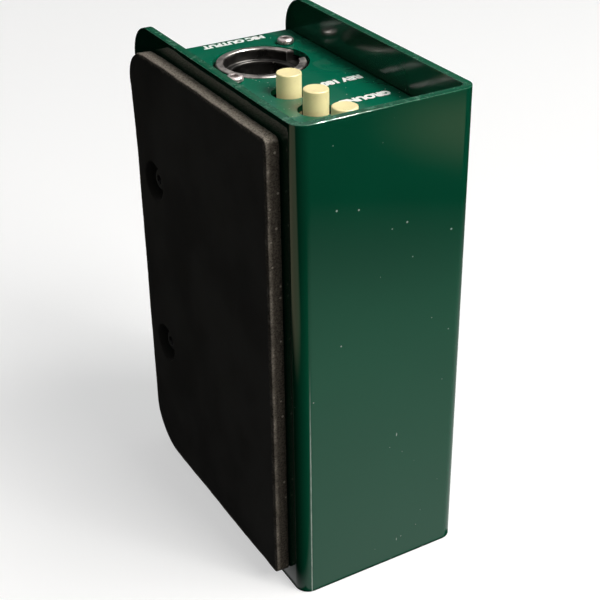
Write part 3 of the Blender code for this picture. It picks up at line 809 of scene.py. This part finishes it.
def make_jack(node):
    """A moulded body with a threaded metal bushing that comes through the panel."""
    low, high = span(node)
    at = middle(node)
    shoulder = IN_Z + PANEL_T + GAP
    hole_end = 32.5 * MM
    r, mouth, bore, lead_in = 4.5 * MM, low.z, 3.3 * MM, 0.4 * MM
    made = block(f"{node}_body", (low.x, high.x), (low.y, high.y), (shoulder, high.z))
    reach = (-2 * MM, hole_end - shoulder)
    drill(made, f"{node}_cut", bore, (at.x, at.y, shoulder), 64, reach=reach)
    bevel(made, 0.35 * MM, 3, 50)
    piece(bake(made), "jack", replaces=[node])

    profile = [(bore, mouth + lead_in), (bore + lead_in, mouth)]
    profile += [(r - lead_in, mouth), (r, mouth + lead_in)]
    pitch, depth = 0.6 * MM, 0.3 * MM
    for h in np.arange(mouth + pitch, shoulder - 0.8 * MM, pitch):
        profile += [(r, h), (r - depth, h + depth)]
    profile += [(r, shoulder - 0.1 * MM), (bore, shoulder - 0.1 * MM)]
    sleeve = lathe(f"{node}_bushing", profile, (at.x, at.y, 0))
    piece(bake(sleeve), "nickel")


NUT_BORE_R = 4.8 * MM


def make_washer(node, at):
    """A flat ring with softened outer edges, at the jack's centre."""
    low, high = span(node)
    r, inner, e = (high.x - low.x) / 2, NUT_BORE_R, 0.12 * MM
    profile = [(inner, low.z), (r - e, low.z), (r, low.z + e)]
    profile += [(r, high.z - e), (r - e, high.z), (inner, high.z)]
    ring = lathe(f"{node}_ring", profile, (at.x, at.y, 0))
    piece(bake(ring), "nickel", replaces=[node])


def make_nut(node, at):
    """A hexagon with its corners turned off, at the jack's centre."""
    low, high = span(node)
    centre = (at.x, at.y, 0)
    r, slope = max(high.x - low.x, high.y - low.y) / 2, 0.5 * MM
    flat_r = r * 0.88
    hexagon = lathe(f"{node}_hex", [(0, low.z), (r, low.z), (r, high.z), (0, high.z)], centre, 6)
    cone = [(0, low.z), (flat_r, low.z), (r, low.z + slope)]
    cone += [(r, high.z - slope), (flat_r, high.z), (0, high.z)]
    boolean(hexagon, lathe(f"{node}_chamfer", cone, centre), "INTERSECT")
    drill(hexagon, f"{node}_bore", NUT_BORE_R, (at.x, at.y, low.z), 64, reach=(-2 * MM, 6 * MM))
    bevel(hexagon, 0.1 * MM, 2, 25)
    piece(bake(hexagon), "nickel", replaces=[node])


# ---------------------------------------------------------------- printed words


def legend(name, text, x, y, z, size, upright, align):
    """Printed function word, a thin film of ink on a panel."""
    curve = bpy.data.curves.new(name, "FONT")
    curve.body = text
    curve.size = size
    curve.align_x = align
    curve.align_y = "CENTER"
    curve.extrude = 0.015 * MM
    curve.offset = size * 0.07
    curve.resolution_u = 4
    obj = bpy.data.objects.new(name, curve)
    MADE.objects.link(obj)
    bpy.context.view_layer.update()
    graph = bpy.context.evaluated_depsgraph_get()
    mesh = bpy.data.meshes.new_from_object(obj.evaluated_get(graph))
    bpy.data.objects.remove(obj)
    bpy.data.curves.remove(curve)
    made = link(name, mesh)
    bm = bmesh.new()
    bm.from_mesh(mesh)
    bmesh.ops.remove_doubles(bm, verts=bm.verts, dist=1e-7)
    bm.to_mesh(mesh)
    bm.free()
    turn = Matrix.Rotation(math.pi, 4, "Z" if upright else "X")
    mesh.transform(Matrix.Translation((x, y, z)) @ turn)
    piece(made, "legend")


def make_legends():
    ink = 0.03 * MM
    above, below = OUT_Z + ink, IN_Z - ink
    small, large = 3.0 * MM, 3.2 * MM
    legend("legend_output", "MIC OUTPUT", 4.9 * MM, 37.8 * MM, above, small, True, "CENTER")
    words = (("reverse", "REV 180°"), ("ground", "GROUND"), ("speaker", "SPEAKER"))
    for (name, text), button in zip(words, OUT_BUTTONS):
        y = middle(button).y + 0.6 * MM
        legend(f"legend_{name}", text, LEGEND_X, y, above, large, True, "LEFT")
    words = (("input", "IN"), ("thru", "THRU"), ("pad", "PAD"), ("merge", "MERGE"))
    for (name, text), node in zip(words, JACKS + IN_BUTTONS):
        y = middle(node).y
        legend(f"legend_{name}", text, LEGEND_X, y, below, small, False, "RIGHT")


# ---------------------------------------------------------------- hidden parts


LOOKS = (
    ("main_board", "board"),
    ("transformer_can", "can"),
    ("transformer_strap", "nickel"),
    ("standoff", "brass"),
    ("board_screw", "zinc"),
    ("film", "film"),
    ("resistor", "resistor"),
    ("_switch", "switch"),
)


def dress_cad_nodes():
    """The hidden inner parts keep their CAD shapes, with finished materials."""
    for name, obj in NODES.items():
        for part, look in LOOKS:
            if not (name.startswith(part) or name.endswith(part)):
                continue
            for slot in obj.material_slots:
                slot.material = M[look]
            if not obj.material_slots:
                obj.data.materials.append(M[look])


# ---------------------------------------------------------------- studio


def make_camera():
    """The view of the photograph: from the near left and above, rolled slightly."""
    azimuth, elevation, roll = (math.radians(a) for a in (-29.32, 29.46, -0.88))
    place = Vector((-0.14068, -0.25519, 0.22819))
    level = Vector((math.sin(azimuth), -math.cos(azimuth), 0.0))
    back = level * math.cos(elevation) + Vector((0, 0, math.sin(elevation)))
    right = (-back).cross(Vector((0, 0, 1))).normalized()
    up = right.cross(-back)
    x = right * math.cos(roll) + up * math.sin(roll)
    y = up * math.cos(roll) - right * math.sin(roll)
    data = bpy.data.cameras.new("camera")
    data.sensor_width = 36.0
    data.lens = 77.07
    data.shift_y = -0.025
    data.clip_start = 10 * MM
    cam = bpy.data.objects.new("camera", data)
    cam.matrix_world = Matrix.Translation(place) @ Matrix((x, y, back)).transposed().to_4x4()
    bpy.context.scene.collection.objects.link(cam)
    bpy.context.scene.camera = cam


WARM, COOL = (1.0, 0.98, 0.95), (1.0, 1.0, 0.97)
LOW_CENTRE, RIM_CORNER = (0, 0, 0.06), (-0.014, -0.042, 0.127)


def area_light(name, at, target, size, power, color):
    data = bpy.data.lights.new(name, "AREA")
    data.shape = "RECTANGLE"
    data.size, data.size_y = size
    data.energy = power
    data.color = color
    obj = bpy.data.objects.new(name, data)
    obj.location = at
    obj.rotation_euler = (Vector(target) - Vector(at)).to_track_quat("-Z", "Y").to_euler()
    bpy.context.scene.collection.objects.link(obj)
    return obj


def make_world():
    """A dim room: pale to the camera, darkest on the pad's side, bright overhead where paint mirrors it."""
    world = bpy.data.worlds.new("studio")
    bpy.context.scene.world = world
    world.use_nodes = True
    tree = world.node_tree
    tree.nodes.clear()

    def put(kind, **links):
        node = tree.nodes.new(kind)
        for key, socket in links.items():
            tree.links.new(socket, node.inputs[int(key[1:])])
        return node

    def ramp(value, low, high, to_low, to_high):
        node = put("ShaderNodeMapRange", i0=value)
        node.interpolation_type = "SMOOTHSTEP"
        for i, v in enumerate((low, high, to_low, to_high), 1):
            node.inputs[i].default_value = v
        return node.outputs[0]

    path = put("ShaderNodeLightPath")
    way = put("ShaderNodeSeparateXYZ", i0=put("ShaderNodeTexCoord").outputs["Generated"]).outputs
    from_below = ramp(way["Z"], -0.3, 0.3, 0.6, 1.0)
    from_pad_side = ramp(way["X"], -0.75, 0.8, 0.046, 0.47)
    ambient = put("ShaderNodeMath", i0=from_below, i1=from_pad_side)
    ambient.operation = "MULTIPLY"
    wall = ramp(way["Z"], 0.35, 0.41, 0.01, 0.6)
    ceiling = ramp(way["Z"], 0.48, 0.7, 0.0, 0.4)
    mirror = put("ShaderNodeMath", i0=wall, i1=ceiling)
    mirror.operation = "ADD"
    is_mirrored, is_seen = path.outputs["Is Glossy Ray"], path.outputs["Is Camera Ray"]
    light = put("ShaderNodeMix", i0=is_mirrored, i2=ambient.outputs[0], i3=mirror.outputs[0])
    shown = put("ShaderNodeMix", i0=is_seen, i2=light.outputs[0])
    shown.inputs[3].default_value = 0.95
    back = put("ShaderNodeBackground", i0=shown.outputs[0])
    put("ShaderNodeOutputWorld", i0=back.outputs[0])


def floor_material():
    """Pale paper with an even grey glow. Glossy paint mirrors a painted reflection of it: bright in front,
    a warm patch far left, dark in painted shadows.
    """
    n = Nodes("floor_paper", (0.5, 0.5, 0.5), 0.9, Specular_IOR_Level=0.0)
    n.shader.inputs["Emission Strength"].default_value = 1.0
    black, white, grey_glow = (0, 0, 0), (1, 1, 1), (0.535, 0.535, 0.535)
    x, y = n.axis("X"), n.axis("Y")

    # Painted reflection, seen only by glossy rays: bright near the front; painted shadow on the pad's side
    # and under the case.
    near = n.math("POWER", n.ramp(n.distance((0.01, -0.03, 0.0)), 0.225, 0.025, smooth=False), 0.8)
    near = n.times(near, n.ramp(x, -29 * MM, -20 * MM, 0.0, 0.69))
    beyond_x = n.ramp(n.off(x, SHELL_MID.x), SHELL_HALF.x + 0.25 * MM, SHELL_HALF.x + 1.05 * MM)
    beyond_y = n.ramp(n.math("ABSOLUTE", y), SHELL_HALF.y + 0.4 * MM, SHELL_HALF.y + 1.2 * MM)
    near = n.times(near, n.larger(beyond_x, beyond_y))
    left_patch = n.times(n.ramp(x, -0.11, -0.15), n.ramp(n.off(y, 0.01), 0.14, 0.09))
    right_patch = n.ramp(n.distance((0.205, -0.265, 0.0)), 0.062, 0.01)
    painted_reflection = n.mix(left_patch, n.mix(near, black, white), (0.62, 0.6, 0.38))
    painted_reflection = n.mix(right_patch, painted_reflection, (0.55, 0.45, 0.28))

    paper = n.mix(n.noise(3.0, 2.0), (0.49, 0.49, 0.49), (0.51, 0.51, 0.51))
    mirrored = n.put("ShaderNodeLightPath").outputs["Is Glossy Ray"]
    n.set("Base Color", n.mix(mirrored, paper, black))
    n.set("Emission Color", n.mix(mirrored, grey_glow, painted_reflection))
    return n.done()


def make_studio():
    half = 6.0
    outline = rounded_rect(-half, half, -half, half, (0,) * 4)
    floor = prism("floor", outline, -2.0 * MM, -0.2 * MM, "XY")
    floor.data.materials.append(floor_material())
    floor.visible_diffuse = False
    area_light("key", (0.44, -0.44, 1.08), LOW_CENTRE, (0.4, 0.4), 7.0, WARM)
    area_light("front", (0.29, -0.80, 0.85), LOW_CENTRE, (0.5, 0.5), 8.5, WARM)
    glint = area_light("glint", (0.545, -0.43, 1.12), RIM_CORNER, (0.07, 0.12), 70.0, COOL)
    glint.visible_diffuse = False
    make_world()
    bpy.context.scene.view_settings.view_transform = "Standard"


make_camera()
make_cover()
make_chassis()
make_pad()
make_screws()
make_socket()
make_insert()
for number in (1, 2, 3):
    make_contact(number)
for button in OUT_BUTTONS:
    make_button(button, True)
for button in IN_BUTTONS:
    make_button(button, False)
for jack in JACKS:
    make_jack(jack)
for jack in JACKS:
    make_washer(jack.replace("jack", "washer"), middle(jack))
    make_nut(jack.replace("jack", "nut"), middle(jack))
make_legends()
dress_cad_nodes()
for obj in SCRATCH:
    bpy.data.objects.remove(obj)
make_studio()
